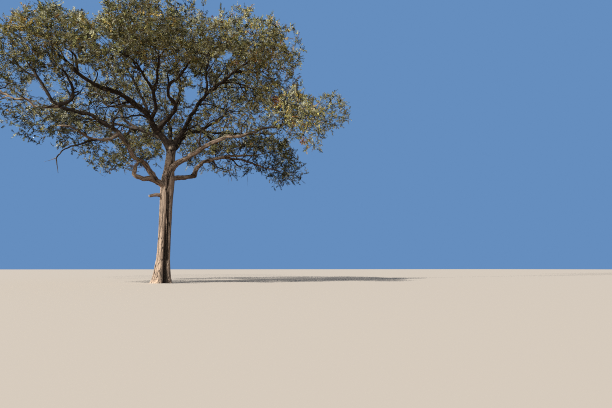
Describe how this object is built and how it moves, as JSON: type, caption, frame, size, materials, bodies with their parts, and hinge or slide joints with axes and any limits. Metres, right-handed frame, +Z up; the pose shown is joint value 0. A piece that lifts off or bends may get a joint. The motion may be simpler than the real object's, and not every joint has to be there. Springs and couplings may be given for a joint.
{
  "type": "spreading savanna tree",
  "caption": "Tall dry-woodland tree with a straight bare trunk, crooked spreading boughs and a wide open crown of small olive leaves.",
  "frame": {"origin": "middle of the flat cut under the trunk, at ground level", "axes": "+Z straight up, -Y to the front, +X to the right of the front view"},
  "size_m": [26.2239, 20.2487, 18.2881],
  "materials": {
    "trunk_bark": "rough fissured grey-brown bark, tan where the sun strikes it",
    "bough_bark": "rough grey-brown bark, smoother and darker than on the trunk",
    "foliage": "dull olive to yellow-olive leaves in loose sprays on thin brown twigs"
  },
  "bodies": {
    "root": {"trunk": "trunk_bark", "bough_left_low": "bough_bark", "bough_left_reach": "bough_bark", "bough_left_upright": "bough_bark", "bough_left_outer": "bough_bark", "bough_left_level": "bough_bark", "bough_left_hanging": "bough_bark", "bough_left_high": "bough_bark", "bough_left_inner": "bough_bark", "bough_rise_right": "bough_bark", "bough_rise_left": "bough_bark", "bough_rise_far_left": "bough_bark", "bough_right_high": "bough_bark", "bough_right_upright": "bough_bark", "bough_right_inner": "bough_bark", "bough_right_shoulder": "bough_bark", "bough_right_main": "bough_bark", "bough_centre_spur": "bough_bark", "bough_right_far": "bough_bark", "bough_right_elbow": "bough_bark", "bough_right_rise": "bough_bark", "bough_right_sweep": "bough_bark", "bough_back_left": "bough_bark", "bough_back_left_outer": "bough_bark", "bough_back_left_low": "bough_bark", "bough_back_mid": "bough_bark", "bough_back_right": "bough_bark", "bough_back_right_outer": "bough_bark", "bough_back_right_low": "bough_bark", "bough_top_left": "bough_bark", "bough_top_centre": "bough_bark", "bough_top_right": "bough_bark", "foliage_front_left": "foliage", "foliage_front_mid_left": "foliage", "foliage_front_centre": "foliage", "foliage_front_mid_right": "foliage", "foliage_front_right": "foliage", "foliage_right_shoulder": "foliage", "foliage_front_far_right": "foliage", "foliage_left_outer": "foliage", "foliage_left_low": "foliage", "foliage_left_low_inner": "foliage", "foliage_trunk_left": "foliage", "foliage_left_inner": "foliage", "foliage_top_left": "foliage", "foliage_top_centre": "foliage", "foliage_top_right": "foliage", "foliage_right_inner": "foliage", "foliage_right_outer": "foliage", "foliage_right_tip": "foliage", "foliage_centre_right": "foliage", "foliage_right_low": "foliage", "foliage_right_lowest": "foliage", "foliage_back_low_left": "foliage", "foliage_back_low_right": "foliage", "foliage_back_left": "foliage", "foliage_back_top_left": "foliage", "foliage_back_top": "foliage", "foliage_back_top_right": "foliage", "foliage_back_right": "foliage"}
  },
  "joints": []
}
